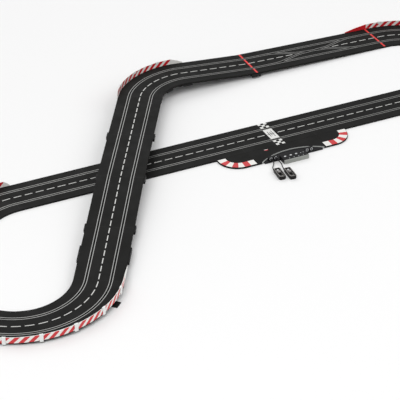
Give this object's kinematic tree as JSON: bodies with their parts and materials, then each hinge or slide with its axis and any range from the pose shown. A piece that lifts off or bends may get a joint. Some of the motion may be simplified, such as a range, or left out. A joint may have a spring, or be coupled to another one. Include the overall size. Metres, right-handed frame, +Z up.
{
  "type": "slot car track set",
  "caption": "Figure-of-eight two-lane slot-racing circuit with a flyover, a lane-change section, striped guard rails, a control unit and corded hand controllers.",
  "frame": {"origin": "on the floor under the main straight, where the bridge crosses it", "axes": "+X along the main straight in the driving direction, +Y towards the lane-change side, +Z up"},
  "size_m": [3.0501, 1.7012, 0.1],
  "materials": {
    "track_plastic": "matte, fine moulded grain",
    "rail_metal": "drawn strip, slightly dull",
    "clip_plastic": "moulded",
    "support_plastic": "moulded",
    "guard_rail": "white with red diagonal stripes",
    "post_white": "moulded",
    "rim_grey": "moulded",
    "unit_black": "fine moulded grain",
    "unit_grey": "fine moulded grain",
    "button_grey": "soft-touch",
    "lamp_lens": "frosted lens",
    "board": "green laminate",
    "cord_black": "smooth jacket",
    "controller_black": "fine moulded grain",
    "throttle_grey": "ribbed",
    "flipper": "moulded",
    "actuator": "copper coil and steel core",
    "screw_steel": "plated"
  },
  "bodies": {
    "track_set": {"main_straight_1": "track_plastic", "main_straight_2": "track_plastic", "main_straight_3": "track_plastic", "connecting_straight": "track_plastic", "main_straight_5": "track_plastic", "main_straight_6": "track_plastic", "ramp_straight": "track_plastic", "bridge_straight_1": "track_plastic", "bridge_straight_2": "track_plastic", "bridge_straight_3": "track_plastic", "bridge_straight_4": "track_plastic", "left_straight": "track_plastic", "curve_right_1": "track_plastic", "curve_right_2": "track_plastic", "curve_right_3": "track_plastic", "curve_top_left": "track_plastic", "curve_left_1": "track_plastic", "curve_left_2": "track_plastic", "curve_left_3": "track_plastic", "curve_left_4": "track_plastic", "lane_change_track": "track_plastic", "apron_left_end": "track_plastic", "apron_centre": "track_plastic", "apron_right_end": "track_plastic", "contact_rails_straights": "rail_metal", "contact_rails_curves": "rail_metal", "track_lock_clips": "clip_plastic", "support_heads": "support_plastic", "support_columns": "support_plastic", "guard_rails_right": "guard_rail", "guard_rail_top_left": "guard_rail", "guard_rails_left": "guard_rail", "guard_rail_ends": "guard_rail", "guard_rail_posts": "post_white", "apron_rim": "rim_grey", "control_unit_base": "unit_black", "control_unit_cover": "unit_black", "socket_block_left": "unit_black", "socket_block_right": "unit_black", "control_unit_front": "unit_grey", "status_lamps": "lamp_lens", "circuit_board": "board", "controller_1_cord": "cord_black", "controller_2_cord": "cord_black", "controller_plugs": "cord_black", "controller_1_base": "controller_black", "controller_1_cover": "controller_black", "controller_2_base": "controller_black", "controller_2_cover": "controller_black", "lane_change_actuators": "actuator", "case_screws": "screw_steel"},
    "flipper_outer": {"lane_change_flipper_outer": "flipper"},
    "flipper_inner": {"lane_change_flipper_inner": "flipper"},
    "start_key": {"start_button": "button_grey"},
    "pace_key": {"pace_button": "button_grey"},
    "set_key": {"set_button": "button_grey"},
    "throttle_1": {"controller_1_throttle": "throttle_grey"},
    "throttle_2": {"controller_2_throttle": "throttle_grey"},
    "lane_key_1": {"controller_1_lane_button": "button_grey"},
    "lane_key_2": {"controller_2_lane_button": "button_grey"}
  },
  "joints": [
    {"name": "flipper_outer_turn", "type": "hinge", "parent": "track_set", "child": "flipper_outer", "pos_m": [1.3897, 0.64396, 0.00922], "axis": [0.029, 0, 0.9996], "range_deg": [0, 8], "stiffness_Nm_per_rad": 0.002},
    {"name": "flipper_inner_turn", "type": "hinge", "parent": "track_set", "child": "flipper_inner", "pos_m": [1.3897, 0.55116, 0.00922], "axis": [-0.029, 0, -0.9996], "range_deg": [0, 8], "stiffness_Nm_per_rad": 0.002},
    {"name": "start_press", "type": "slide", "parent": "track_set", "child": "start_key", "axis": [0, 0, -1], "range_m": [0, 0.0012], "stiffness_N_per_m": 300},
    {"name": "pace_press", "type": "slide", "parent": "track_set", "child": "pace_key", "axis": [0, 0, -1], "range_m": [0, 0.0012], "stiffness_N_per_m": 300},
    {"name": "set_press", "type": "slide", "parent": "track_set", "child": "set_key", "axis": [0, 0, -1], "range_m": [0, 0.0012], "stiffness_N_per_m": 300},
    {"name": "throttle_1_pull", "type": "slide", "parent": "track_set", "child": "throttle_1", "axis": [-0.0872, -0.9962, 0], "range_m": [0, 0.018], "stiffness_N_per_m": 40},
    {"name": "lane_1_press", "type": "slide", "parent": "track_set", "child": "lane_key_1", "axis": [0, 0, -1], "range_m": [0, 0.001], "stiffness_N_per_m": 300},
    {"name": "throttle_2_pull", "type": "slide", "parent": "track_set", "child": "throttle_2", "axis": [-0.0785, -0.9969, 0], "range_m": [0, 0.018], "stiffness_N_per_m": 40},
    {"name": "lane_2_press", "type": "slide", "parent": "track_set", "child": "lane_key_2", "axis": [0, 0, -1], "range_m": [0, 0.001], "stiffness_N_per_m": 300}
  ]
}
